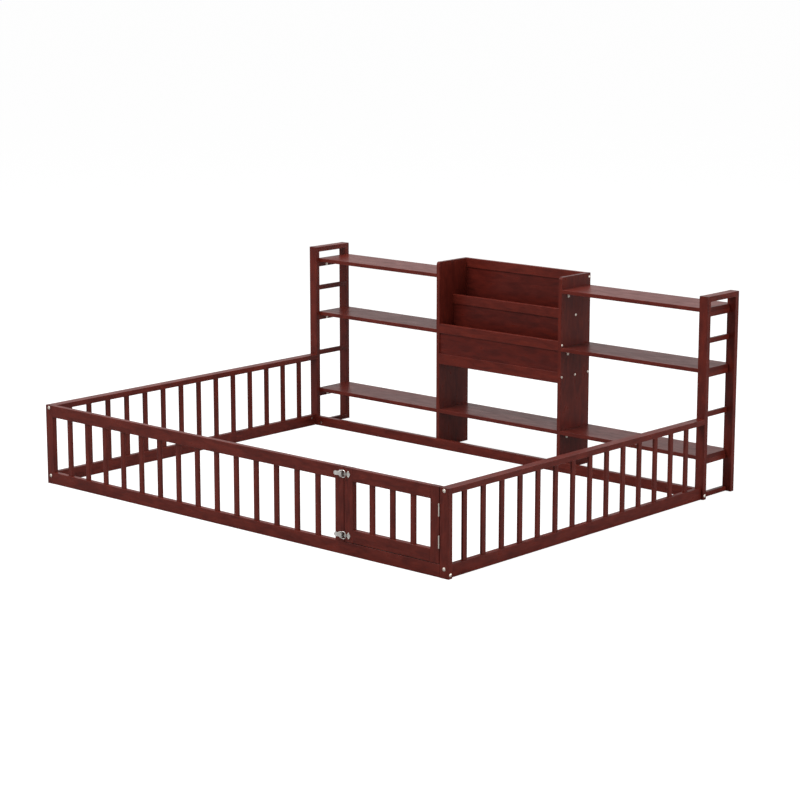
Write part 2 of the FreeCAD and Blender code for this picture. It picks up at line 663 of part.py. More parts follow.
def lever(pivot_x, pivot_y, centre):
    """Stamped lever: a waisted cover plate that lifts at the tip, over two cheeks on the pivot pin."""
    cover_in = pivot_y - lever_cover_height
    cover_out = cover_in - latch_plate_thickness
    yoke_x = pivot_x + latch_cheek_radius / 2
    tip_x = pivot_x - lever_length
    cheek_end_x = pivot_x - loop_pivot_offset - latch_cheek_radius
    waist_x = (cheek_end_x + tip_x) / 2 + latch_cheek_radius / 2
    lobe_x = tip_x + lever_tip_width / 2
    half, waist, lobe = lever_width / 2, lever_waist_width / 2, lever_tip_width / 2
    low = cover_out - lever_lift

    def edge_half(sign):
        return [at(yoke_x, low, centre + sign * half), at(cheek_end_x, low, centre + sign * half),
                at(waist_x, low, centre + sign * waist), at(lobe_x, low, centre + sign * lobe)]

    upper, lower = edge_half(1), edge_half(-1)
    outline = Part.Wire([
        Part.LineSegment(upper[0], upper[1]).toShape(),
        Part.Arc(upper[1], upper[2], upper[3]).toShape(),
        Part.Arc(upper[3], at(tip_x, low, centre), lower[3]).toShape(),
        Part.Arc(lower[3], lower[2], lower[1]).toShape(),
        Part.LineSegment(lower[1], lower[0]).toShape(),
        Part.LineSegment(lower[0], upper[0]).toShape()])
    plan = Part.Face(outline).extrude(ALONG_Y * (lever_lift + lever_cover_height + latch_plate_thickness))

    bottom = centre - lever_tip_width / 2
    bend_x = lobe_x + lobe / 2
    inner = [at(yoke_x, cover_in, bottom), at(waist_x, cover_in, bottom), at(bend_x, cover_in, bottom),
             at(tip_x, cover_in - lever_lift, bottom)]
    outer = [at(tip_x, cover_out - lever_lift, bottom), at(bend_x, cover_out, bottom), at(yoke_x, cover_out, bottom)]
    side = Part.Wire([
        Part.LineSegment(inner[0], inner[2]).toShape(),
        Part.LineSegment(inner[2], inner[3]).toShape(),
        Part.LineSegment(inner[3], outer[0]).toShape(),
        Part.LineSegment(outer[0], outer[1]).toShape(),
        Part.LineSegment(outer[1], outer[2]).toShape(),
        Part.LineSegment(outer[2], inner[0]).toShape()])
    cover = Part.Face(side).extrude(ALONG_Z * lever_tip_width).common(plan)

    loop_x = pivot_x - loop_pivot_offset
    for start in (centre - half, centre + half - latch_plate_thickness):
        cheek = block((loop_x, pivot_x), (pivot_y - latch_cheek_radius, pivot_y + latch_cheek_radius),
                      (start, start + latch_plate_thickness))
        for x in (loop_x, pivot_x):
            cheek = cheek.fuse(rod(at(x, pivot_y, start), ALONG_Z, latch_plate_thickness, latch_cheek_radius))
        cover = cover.fuse(cheek)
    for x, radius in ((loop_x, loop_wire_radius), (pivot_x, latch_pin_radius)):
        cover = cover.cut(rod(at(x, pivot_y, centre - half), ALONG_Z, lever_width, radius + pin_clearance))
    return cover


def wire_loop(start_x, end_x, y, centre, leg):
    """Bent wire loop: its ends turn into the lever's cheeks and its ring end goes round the hook."""
    inner = lever_width / 2 - latch_plate_thickness - loop_end_insert
    ring_x = end_x - loop_half_width
    neck_x = ring_x - loop_bend_radius
    half_points = [(start_x, inner), (start_x, leg), (neck_x, leg), (ring_x, loop_half_width),
                   (end_x, loop_half_width)]
    points = [at(x, y, centre + z) for x, z in half_points]
    points += [at(x, y, centre - z) for x, z in reversed(half_points)]
    half_bends = [loop_corner_radius, loop_neck_radius, loop_neck_radius, loop_bend_radius]
    return bent_wire(points, half_bends + half_bends[::-1], loop_wire_radius)


def hook_plate(hook_left, plate_x, centre):
    """Catch on the gate: a pointed plate with a tongue that turns up into the hook."""
    face = front_y - latch_plate_thickness
    half_height, half_width_plate = catch_height / 2, catch_width / 2
    corners = [at(plate_x, face, centre + half_height), at(plate_x + half_width_plate, face, centre),
               at(plate_x, face, centre - half_height), at(plate_x - half_width_plate, face, centre)]
    rhombus = Part.Face(Part.makePolygon(corners + corners[:1])).extrude(ALONG_Y * latch_plate_thickness)
    rhombus = rhombus.makeFillet(catch_tip_radius, edges_along(rhombus, ALONG_Y))
    half_hook = hook_width / 2
    tongue = block((hook_left, plate_x), (face, front_y), (centre - half_hook, centre + half_hook))
    hook = block((hook_left, hook_left + hook_thickness), (front_y - hook_height, front_y),
                 (centre - half_hook, centre + half_hook))
    hook = hook.makeFillet(hook_thickness / 3, edges_along(hook, ALONG_X))
    return rhombus.fuse(tongue).fuse(hook)


def toggle_latches():
    """Upper and lower toggle latch."""
    bases, catches, pins, screws, hook_screws = [], [], [], [], []
    for centre, name in ((fence_height - latch_inset, "upper"), (gate_bottom + latch_inset, "lower")):
        toggle_latch(centre, name, bases, catches, pins, screws, hook_screws)
    fittings["latch_bases"] = Part.makeCompound(bases)
    fittings["latch_hooks"] = Part.makeCompound(catches)
    fittings["latch_pins"] = Part.makeCompound(pins)
    fittings["latch_screws"] = Part.makeCompound(screws)
    fittings["hook_screws"] = Part.makeCompound(hook_screws)


fence_corners()
gate_frame()
ladders()
shelves()
bookcase()
shelf_brackets()
corner_fasteners()
frame_dowels()
butt_hinges()
toggle_latches()

for name, shape in timber.items():
    drilled_solids = [drilled(name, solid) for solid in shape.Solids]
    Part.makeCompound(drilled_solids).exportStep("parts/%s.step" % name)
for name, shape in fittings.items():
    shape.exportStep("parts/%s.step" % name)
print(len(timber) + len(fittings), "nodes written")
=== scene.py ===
"""Looks of a floor bed: stained timber fence with a gate, end ladders, shelves and a book rack.

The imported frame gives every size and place, in metres and in its own axes. This script dresses the
timber and the steel, makes the slats and the headed fastenings anew with Geometry Nodes, and gives
the latch levers their straight sides.
"""

import logging
import math
from dataclasses import dataclass
from enum import Enum
from typing import Mapping

import bmesh
import bpy
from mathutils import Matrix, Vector


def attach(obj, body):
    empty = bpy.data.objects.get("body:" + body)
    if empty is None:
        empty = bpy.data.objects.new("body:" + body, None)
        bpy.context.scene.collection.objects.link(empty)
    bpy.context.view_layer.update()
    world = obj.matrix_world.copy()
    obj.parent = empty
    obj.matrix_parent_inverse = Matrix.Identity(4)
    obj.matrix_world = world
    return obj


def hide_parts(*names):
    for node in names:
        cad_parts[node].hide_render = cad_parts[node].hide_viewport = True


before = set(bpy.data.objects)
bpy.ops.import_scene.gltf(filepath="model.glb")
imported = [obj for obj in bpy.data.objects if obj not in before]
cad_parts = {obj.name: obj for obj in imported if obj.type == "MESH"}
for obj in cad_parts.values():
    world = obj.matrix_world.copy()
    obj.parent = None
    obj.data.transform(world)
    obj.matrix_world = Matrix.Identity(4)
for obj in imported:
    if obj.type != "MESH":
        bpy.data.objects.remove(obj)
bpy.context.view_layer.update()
LOG = logging.getLogger("floor_bed")
MM = 0.001
MERGE_DISTANCE = 0.002 * MM
MEASURING_SLACK = 0.1 * MM
CREASE_ANGLE = math.radians(35.0)
WHITE = "#ffffff"
TENTH_MM_DIGITS = 4


# Small helpers


def linear(hex_colour: str) -> tuple[float, float, float, float]:
    """Turns an sRGB hex colour into linear light.

    Args:
        hex_colour: Six hex digits after a hash, such as "#5a231f".

    Returns:
        Red, green, blue and full opacity.
    """
    channels = [int(hex_colour[place:place + 2], 16) / 255 for place in (1, 3, 5)]
    light = [c / 12.92 if c <= 0.04045 else ((c + 0.055) / 1.055) ** 2.4 for c in channels]
    return (light[0], light[1], light[2], 1.0)


def add(tree: bpy.types.NodeTree, kind: str, settings: Mapping[str, object] | None = None,
        inputs: Mapping[str | int, object] | None = None) -> bpy.types.Node:
    """Adds a node, with its settings, values and links.

    Args:
        tree: Node tree that gets the node.
        kind: Type name of the node.
        settings: Properties of the node, by name.
        inputs: Values, sockets or nodes for its enabled inputs, by socket name or by place among
            them. A node stands for its first enabled output.

    Returns:
        The new node.
    """
    node = tree.nodes.new(kind)
    for name, value in (settings or {}).items():
        setattr(node, name, value)
    for key, value in (inputs or {}).items():
        enabled = [socket for socket in node.inputs if socket.enabled]
        socket = enabled[key] if isinstance(key, int) else next(s for s in enabled if s.name == key)
        if isinstance(value, bpy.types.Node):
            value = next(output for output in value.outputs if output.enabled)
        if isinstance(value, bpy.types.NodeSocket):
            tree.links.new(value, socket)
        else:
            socket.default_value = value
    return node


def new_object(name: str, mesh: bpy.types.Mesh) -> bpy.types.Object:
    """Links a mesh into the scene as an object at the origin.

    Args:
        name: Name of the object.
        mesh: Its shape, in metres.

    Returns:
        The object, unturned and unscaled.
    """
    made = bpy.data.objects.new(name, mesh)
    bpy.context.scene.collection.objects.link(made)
    return made


def new_material(name: str) -> bpy.types.Material:
    """Makes a material that starts with its shader and its output alone.

    Args:
        name: Name of the material.

    Returns:
        The material, with nodes.
    """
    made = bpy.data.materials.new(name)
    made.use_nodes = True
    return made


def merged_copy(node: str) -> bmesh.types.BMesh:
    """Copies a CAD node's mesh and joins its loose triangles; the node's own mesh stays as it is.

    Args:
        node: Name of the CAD node.

    Returns:
        Editable copy, which the caller frees.
    """
    shape = bmesh.new()
    shape.from_mesh(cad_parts[node].data)
    bmesh.ops.remove_doubles(shape, verts=shape.verts, dist=MERGE_DISTANCE)
    return shape


def dress_node(node: str, material: bpy.types.Material) -> None:
    """Gives a CAD node one material, in every slot that it has, and reports it.

    Args:
        node: Name of the CAD node.
        material: Its finish.
    """
    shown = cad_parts[node]
    if not shown.material_slots:
        shown.data.materials.append(material)
    for slot in shown.material_slots:
        slot.material = material
    LOG.info("%s: %s", node, material.name)


def sided(*names: str) -> tuple[str, ...]:
    """Names of the pieces that exist on the left and on the right."""
    return tuple(side + "_" + name for side in ("left", "right") for name in names)


@dataclass(frozen=True)
class Lump:
    """One separate solid of a CAD node: its box and its points."""

    low: Vector
    high: Vector
    points: tuple[Vector, ...]

    @property
    def centre(self) -> Vector:
        """Middle of the box."""
        return (self.low + self.high) / 2

    @property
    def size(self) -> Vector:
        """Lengths of the box."""
        return self.high - self.low


def lumps_of(node: str) -> list[Lump]:
    """Finds the separate solids of a CAD node, on a merged copy of its mesh.

    Args:
        node: Name of the CAD node.

    Returns:
        One lump for each solid, ordered along X, then Y, then Z.
    """
    shape = merged_copy(node)
    waiting = set(shape.verts)
    lumps = []
    while waiting:
        reached, front = [], [waiting.pop()]
        while front:
            vertex = front.pop()
            reached.append(vertex.co.copy())
            for edge in vertex.link_edges:
                other = edge.other_vert(vertex)
                if other in waiting:
                    waiting.remove(other)
                    front.append(other)
        low = Vector(min(point[axis] for point in reached) for axis in range(3))
        high = Vector(max(point[axis] for point in reached) for axis in range(3))
        lumps.append(Lump(low, high, tuple(reached)))
    shape.free()
    return sorted(lumps, key=lambda lump: tuple(
        round(value, TENTH_MM_DIGITS) for value in lump.centre))


# Finishes


class Grain(Enum):
    """Way the fibres run in a piece of timber, by the number of its axis."""

    ACROSS = 0
    DEEP = 1
    UPRIGHT = 2


@dataclass(frozen=True)
class Figure:
    """One layer of the wood's pattern: soft spots drawn out along the fibres."""

    along_mm: float
    across_mm: float
    detail: float
    roughness: float
    distortion: float = 0.0

    def scale(self, grain: Grain) -> list[float]:
        """Scale of metres at which one unit is one spot along the grain and one across it."""
        spot = [self.along_mm if axis == grain.value else self.across_mm for axis in range(3)]
        return [1 / (length * MM) for length in spot]


@dataclass(frozen=True)
class StainedPine:
    """Planed solid pine, soaked with a mahogany stain and sprayed with a satin clear lacquer.

    The stain lies unevenly: it pools in soft early wood and in cut ends, so the eye sees long
    darker clouds along the fibres, and the lacquer gives a broad, soft reflection of the room.
    """

    grain: Grain
    name: str = "stained_lacquered_pine"
    light: str = "#6e291f"
    middle: str = "#5f2119"
    dark: str = "#4f1913"
    cut_end: str = "#521b15"
    dark_stop: float = 0.42
    middle_stop: float = 0.64
    light_stop: float = 0.90
    clouds: Figure = Figure(70.0, 22.0, 3.0, 0.55, 0.6)
    streaks: Figure = Figure(130.0, 5.0, 4.0, 0.6, 0.25)
    # The real fibres are under half a millimetre wide; they are drawn wider so that they show.
    fibres: Figure = Figure(30.0, 1.5, 2.0, 0.5)
    flame: Figure = Figure(600.0, 60.0, 1.0, 0.4)
    rings_per_flame: float = 16.0
    ring_crest: float = 0.35
    ring_depth: float = 0.05
    streak_weight: float = 0.34
    fibre_contrast: float = 0.1
    end_turn_start: float = 0.6
    end_turn_full: float = 0.95
    # The film is thin and follows the open pores, so it mirrors less than a full coat.
    lacquer_ior: float = 1.45
    lacquer_specular: float = 0.25
    roughness: float = 0.32
    roughness_spread: float = 0.05
    cloud_low: float = 0.3
    cloud_high: float = 0.7
    bump_mm: float = 0.08
    bump_strength: float = 0.25
    relief_weight: float = 0.5

    def material(self) -> bpy.types.Material:
        """Builds the material.

        Returns:
            Material for timber whose fibres run along this finish's grain.
        """
        made = new_material("%s_%s" % (self.name, self.grain.name.lower()))
        tree = made.node_tree
        shader = tree.nodes["Principled BSDF"]
        shader.inputs["IOR"].default_value = self.lacquer_ior
        shader.inputs["Specular IOR Level"].default_value = self.lacquer_specular
        place = add(tree, "ShaderNodeTexCoord")
        spots = []
        for figure in (self.clouds, self.streaks, self.fibres, self.flame):
            drawn_out = add(tree, "ShaderNodeMapping", inputs={
                "Vector": place.outputs["Object"], "Scale": figure.scale(self.grain)})
            noise = add(tree, "ShaderNodeTexNoise", inputs={
                "Vector": drawn_out, "Scale": 1.0, "Detail": figure.detail,
                "Roughness": figure.roughness, "Distortion": figure.distortion})
            spots.append(noise.outputs["Fac"])
        clouds, streaks, fibres, flame = spots
        tone = self.tone(tree, clouds, streaks, flame)
        final = self.colour(tree, place.outputs["Normal"], tone, fibres)
        sheen = add(tree, "ShaderNodeMapRange", inputs={
            "Value": clouds, "From Min": self.cloud_low, "From Max": self.cloud_high,
            "To Min": self.roughness + self.roughness_spread,
            "To Max": self.roughness - self.roughness_spread})
        relief = add(tree, "ShaderNodeMath", {"operation": "MULTIPLY_ADD"}, {
            0: streaks, 1: self.relief_weight, 2: fibres})
        bump = add(tree, "ShaderNodeBump", inputs={
            "Strength": self.bump_strength, "Distance": self.bump_mm * MM, "Height": relief})
        tree.links.new(final.outputs["Vector"], shader.inputs["Base Color"])
        tree.links.new(sheen.outputs["Result"], shader.inputs["Roughness"])
        tree.links.new(bump.outputs["Normal"], shader.inputs["Normal"])
        return made

    def tone(self, tree: bpy.types.NodeTree, clouds: bpy.types.NodeSocket,
             streaks: bpy.types.NodeSocket, flame: bpy.types.NodeSocket) -> bpy.types.Node:
        """Sums what makes the stain lighter or darker.

        Args:
            tree: Material's node tree.
            clouds: Uneven soaking of the stain.
            streaks: Bands of open and dense fibres.
            flame: Long, slow pattern whose level lines are the growth rings.

        Returns:
            Node with the place on the colour ramp.
        """
        turns = add(tree, "ShaderNodeMath", {"operation": "MULTIPLY"}, {
            0: flame, 1: self.rings_per_flame * math.tau})
        wave = add(tree, "ShaderNodeMath", {"operation": "SINE"}, {0: turns})
        late_wood = add(tree, "ShaderNodeMapRange", {"interpolation_type": "SMOOTHSTEP"}, {
            "Value": wave, "From Min": self.ring_crest, "From Max": 1.0,
            "To Min": 0.0, "To Max": -self.ring_depth})
        shade = add(tree, "ShaderNodeMath", {"operation": "MULTIPLY_ADD"}, {
            0: streaks, 1: self.streak_weight, 2: clouds})
        ringed = add(tree, "ShaderNodeMath", {"operation": "ADD"}, {0: shade, 1: late_wood})
        # Each slat carries its own tone; other pieces have no such attribute, which counts as 0.
        piece_tone = add(tree, "ShaderNodeAttribute", {"attribute_name": "piece_tone"})
        return add(tree, "ShaderNodeMath", {"operation": "ADD"}, {
            0: ringed, 1: piece_tone.outputs["Fac"]})

    def colour(self, tree: bpy.types.NodeTree, normal: bpy.types.NodeSocket, tone: bpy.types.Node,
               fibres: bpy.types.NodeSocket) -> bpy.types.Node:
        """Colours the tone, darkens the cut ends and draws the fibres.

        Args:
            tree: Material's node tree.
            normal: Object's normal, which tells a cut end from a long face.
            tone: Node with the place on the colour ramp.
            fibres: Fine lines along the grain.

        Returns:
            Node with the surface colour.
        """
        ramp = add(tree, "ShaderNodeValToRGB", inputs={"Fac": tone})
        stops = ramp.color_ramp.elements
        stops[0].position, stops[0].color = self.dark_stop, linear(self.dark)
        stops[1].position, stops[1].color = self.light_stop, linear(self.light)
        between = stops.new(self.middle_stop)
        between.color = linear(self.middle)
        facing = add(tree, "ShaderNodeVectorMath", {"operation": "DOT_PRODUCT"}, {
            0: normal, 1: [float(axis == self.grain.value) for axis in range(3)]})
        turned_away = add(tree, "ShaderNodeMath", {"operation": "ABSOLUTE"}, {
            0: facing.outputs["Value"]})
        end_share = add(tree, "ShaderNodeMapRange", {"interpolation_type": "SMOOTHSTEP"}, {
            "Value": turned_away, "From Min": self.end_turn_start, "From Max": self.end_turn_full})
        coloured = add(tree, "ShaderNodeMix", {"data_type": "RGBA"}, {
            0: end_share, 1: ramp.outputs["Color"], 2: linear(self.cut_end)})
        fine = add(tree, "ShaderNodeMapRange", inputs={
            "Value": fibres, "To Min": 1.0 - self.fibre_contrast,
            "To Max": 1.0 + self.fibre_contrast})
        return add(tree, "ShaderNodeVectorMath", {"operation": "SCALE"}, {0: coloured, 1: fine})


@dataclass(frozen=True)
class Steel:
    """Bare or plated steel: a grey metal whose tone and shine are slightly uneven."""

    name: str
    colour: str
    worn: str
    roughness: float
    grit_mm: float
    patch_in_grits: float = 9.0
    patch_detail: float = 2.0
    grit_detail: float = 3.0
    roughness_below: float = 0.06
    roughness_above: float = 0.1
    bump_mm: float = 0.05
    bump_strength: float = 0.15

    def material(self) -> bpy.types.Material:
        """Builds the material.

        Returns:
            Metal with uneven tone, roughness and a fine relief.
        """
        made = new_material(self.name)
        tree = made.node_tree
        shader = tree.nodes["Principled BSDF"]
        shader.inputs["Metallic"].default_value = 1.0
        place = add(tree, "ShaderNodeTexCoord")
        patches = add(tree, "ShaderNodeTexNoise", inputs={
            "Vector": place.outputs["Object"],
            "Scale": 1 / (self.grit_mm * self.patch_in_grits * MM), "Detail": self.patch_detail})
        grit = add(tree, "ShaderNodeTexNoise", inputs={
            "Vector": place.outputs["Object"], "Scale": 1 / (self.grit_mm * MM),
            "Detail": self.grit_detail})
        tone = add(tree, "ShaderNodeMix", {"data_type": "RGBA"}, {
            0: patches.outputs["Fac"], 1: linear(self.colour), 2: linear(self.worn)})
        rough = add(tree, "ShaderNodeMapRange", inputs={
            "Value": grit.outputs["Fac"], "To Min": self.roughness - self.roughness_below,
            "To Max": self.roughness + self.roughness_above})
        bump = add(tree, "ShaderNodeBump", inputs={
            "Strength": self.bump_strength, "Distance": self.bump_mm * MM,
            "Height": grit.outputs["Fac"]})
        tree.links.new(next(o for o in tone.outputs if o.enabled), shader.inputs["Base Color"])
        tree.links.new(rough.outputs["Result"], shader.inputs["Roughness"])
        tree.links.new(bump.outputs["Normal"], shader.inputs["Normal"])
        return made


@dataclass(frozen=True)
class PlainBeech:
    """Turned beech dowel, fluted and left raw: a dry, pale pink-brown wood with short flecks."""

    name: str = "raw_turned_beech"
    light: str = "#d9b48a"
    dark: str = "#b98a5e"
    fleck_mm: float = 2.0
    fleck_detail: float = 3.0
    smoothest: float = 0.6
    roughest: float = 0.75
    bump_mm: float = 0.1
    bump_strength: float = 0.2

    def material(self) -> bpy.types.Material:
        """Builds the material.

        Returns:
            Matt pale wood.
        """
        made = new_material(self.name)
        tree = made.node_tree
        shader = tree.nodes["Principled BSDF"]
        place = add(tree, "ShaderNodeTexCoord")
        flecks = add(tree, "ShaderNodeTexNoise", inputs={
            "Vector": place.outputs["Object"], "Scale": 1 / (self.fleck_mm * MM),
            "Detail": self.fleck_detail})
        tone = add(tree, "ShaderNodeMix", {"data_type": "RGBA"}, {
            0: flecks.outputs["Fac"], 1: linear(self.light), 2: linear(self.dark)})
        rough = add(tree, "ShaderNodeMapRange", inputs={
            "Value": flecks.outputs["Fac"], "To Min": self.smoothest, "To Max": self.roughest})
        bump = add(tree, "ShaderNodeBump", inputs={
            "Strength": self.bump_strength, "Distance": self.bump_mm * MM,
            "Height": flecks.outputs["Fac"]})
        tree.links.new(next(o for o in tone.outputs if o.enabled), shader.inputs["Base Color"])
        tree.links.new(rough.outputs["Result"], shader.inputs["Roughness"])
        tree.links.new(bump.outputs["Normal"], shader.inputs["Normal"])
        return made


@dataclass(frozen=True)
class Finishes:
    """Every material of the bed, built once."""

    timber: Mapping[Grain, bpy.types.Material]
    plywood: bpy.types.Material
    zinc: bpy.types.Material
    nickel: bpy.types.Material
    rolled: bpy.types.Material
    beech: bpy.types.Material

    @classmethod
    def build(cls) -> "Finishes":
        """Builds the materials.

        Returns:
            All finishes.
        """
        return cls(
            timber={grain: StainedPine(grain).material() for grain in Grain},
            # Sanded plywood drinks more stain than planed pine, so the thin panels look deeper.
            plywood=StainedPine(Grain.ACROSS, "stained_lacquered_plywood", light="#62221a",
                                middle="#541b15", dark="#461510", cut_end="#44140f").material(),
            # Bolts, nuts, screws, brackets and hinges are zinc plated in a tumbling barrel. The
            # clear film looks evenly grey and softly shiny, with a faint warm cast.
            zinc=Steel("tumbled_zinc_plated_steel", "#ebe3d9", "#d9d0c5", 0.45, 0.6).material(),
            # Levers, loops and hooks are brushed before nickel plating, so they look the brightest.
            nickel=Steel("satin_nickel_plated_steel", "#eae8e4", "#d9d6d1", 0.38, 0.5).material(),
            # The plate under the lever is painted a darker grey than its lever: painted shade for
            # the lever's shadow over it, though the real plate has the same plating.
            rolled=Steel("cold_rolled_strip_steel", "#a5a29e", "#8b8885", 0.45, 0.4).material(),
            beech=PlainBeech().material())


# What Geometry Nodes make


class NodeTool:
    """A Geometry Nodes tree with named inputs, and the way from a modifier to a plain mesh."""

    def __init__(self, name: str, sizes: Mapping[str, tuple[str, object]]) -> None:
        """Starts a tree.

        Args:
            name: Name of the tree.
            sizes: Socket type and default value of each named input.
        """
        self.tree = bpy.data.node_groups.new(name, "GeometryNodeTree")
        face = self.tree.interface
        face.new_socket("Geometry", in_out="INPUT", socket_type="NodeSocketGeometry")
        for size, (kind, value) in sizes.items():
            face.new_socket(size, in_out="INPUT", socket_type=kind).default_value = value
        face.new_socket("Material", in_out="INPUT", socket_type="NodeSocketMaterial")
        face.new_socket("Geometry", in_out="OUTPUT", socket_type="NodeSocketGeometry")
        self.start = add(self.tree, "NodeGroupInput")

    def given(self, name: str) -> bpy.types.NodeSocket:
        """Socket of a named input."""
        return self.start.outputs[name]

    def end(self, shape: bpy.types.Node) -> None:
        """Ends the tree: instances become real, sharp edges stay sharp, and the material is set.

        Args:
            shape: Node whose first output is the whole shape.
        """
        real = add(self.tree, "GeometryNodeRealizeInstances", inputs={"Geometry": shape})
        angle = add(self.tree, "GeometryNodeInputMeshEdgeAngle")
        soft = add(self.tree, "FunctionNodeCompare", {
            "data_type": "FLOAT", "operation": "LESS_THAN"}, {
            0: angle.outputs["Unsigned Angle"], 1: CREASE_ANGLE})
        faces = add(self.tree, "GeometryNodeSetShadeSmooth", {"domain": "FACE"}, {"Geometry": real})
        edges = add(self.tree, "GeometryNodeSetShadeSmooth", {"domain": "EDGE"}, {
            "Geometry": faces, "Shade Smooth": soft})
        dressed = add(self.tree, "GeometryNodeSetMaterial", inputs={
            "Geometry": edges, "Material": self.given("Material")})
        add(self.tree, "NodeGroupOutput", inputs={"Geometry": dressed})

    def run(self, name: str, points: bpy.types.Mesh,
            values: Mapping[str, object]) -> bpy.types.Object:
        """Runs the tree on a mesh and keeps the result as a plain mesh.

        Args:
            name: Name of the new piece.
            points: Mesh that the tree starts from.
            values: Values of the named inputs.

        Returns:
            Object at the origin, with no modifier.
        """
        made = new_object(name, points)
        modifier = made.modifiers.new(self.tree.name, "NODES")
        modifier.node_group = self.tree
        sockets = {item.name: item.identifier for item in self.tree.interface.items_tree
                   if item.item_type == "SOCKET" and item.in_out == "INPUT"}
        for size, value in values.items():
            modifier[sockets[size]] = value
        seen = made.evaluated_get(bpy.context.evaluated_depsgraph_get())
        plain = bpy.data.meshes.new_from_object(seen)
        made.modifiers.clear()
        made.data = plain
        plain.name = name
        return made


class SlatTool(NodeTool):
    """Row of upright slats with rounded edges, each with its own tone of stain."""

    EDGE_STEPS = 4

    def __init__(self) -> None:
        """Builds the tree."""
        length = "NodeSocketFloat"
        super().__init__("slat_row", {
            "Count": ("NodeSocketInt", 14), "Width": (length, 0.009), "Depth": (length, 0.021),
            "Height": (length, 0.25), "Edge": (length, 0.0015),
            "First": ("NodeSocketVector", (0, 0, 0)), "Step": ("NodeSocketVector", (0, 0.06, 0)),
            "Seed": ("NodeSocketInt", 1), "Tone Spread": (length, 0.05)})
        tree = self.tree
        outline = add(tree, "GeometryNodeCurvePrimitiveQuadrilateral", inputs={
            "Width": self.given("Width"), "Height": self.given("Depth")})
        rounded = add(tree, "GeometryNodeFilletCurve", {"mode": "POLY"}, {
            "Curve": outline, "Count": self.EDGE_STEPS, "Radius": self.given("Edge")})
        top = add(tree, "ShaderNodeCombineXYZ", inputs={"Z": self.given("Height")})
        line = add(tree, "GeometryNodeCurvePrimitiveLine", inputs={"End": top})
        slat = add(tree, "GeometryNodeCurveToMesh", inputs={
            "Curve": line, "Profile Curve": rounded, "Fill Caps": True})
        places = add(tree, "GeometryNodeMeshLine", inputs={
            "Count": self.given("Count"), "Start Location": self.given("First"),
            "Offset": self.given("Step")})
        row = add(tree, "GeometryNodeInstanceOnPoints", inputs={"Points": places, "Instance": slat})
        darkest = add(tree, "ShaderNodeMath", {"operation": "MULTIPLY"}, {
            0: self.given("Tone Spread"), 1: -1.0})
        tone = add(tree, "FunctionNodeRandomValue", {"data_type": "FLOAT"}, {
            "Min": darkest, "Max": self.given("Tone Spread"), "Seed": self.given("Seed")})
        toned = add(tree, "GeometryNodeStoreNamedAttribute", {
            "data_type": "FLOAT", "domain": "INSTANCE"}, {
            "Geometry": row, "Name": "piece_tone", "Value": tone})
        self.end(toned)


class Recess(Enum):
    """Shape sunk into a fastening for its driver."""

    HEXAGON = 0
    CROSS = 1


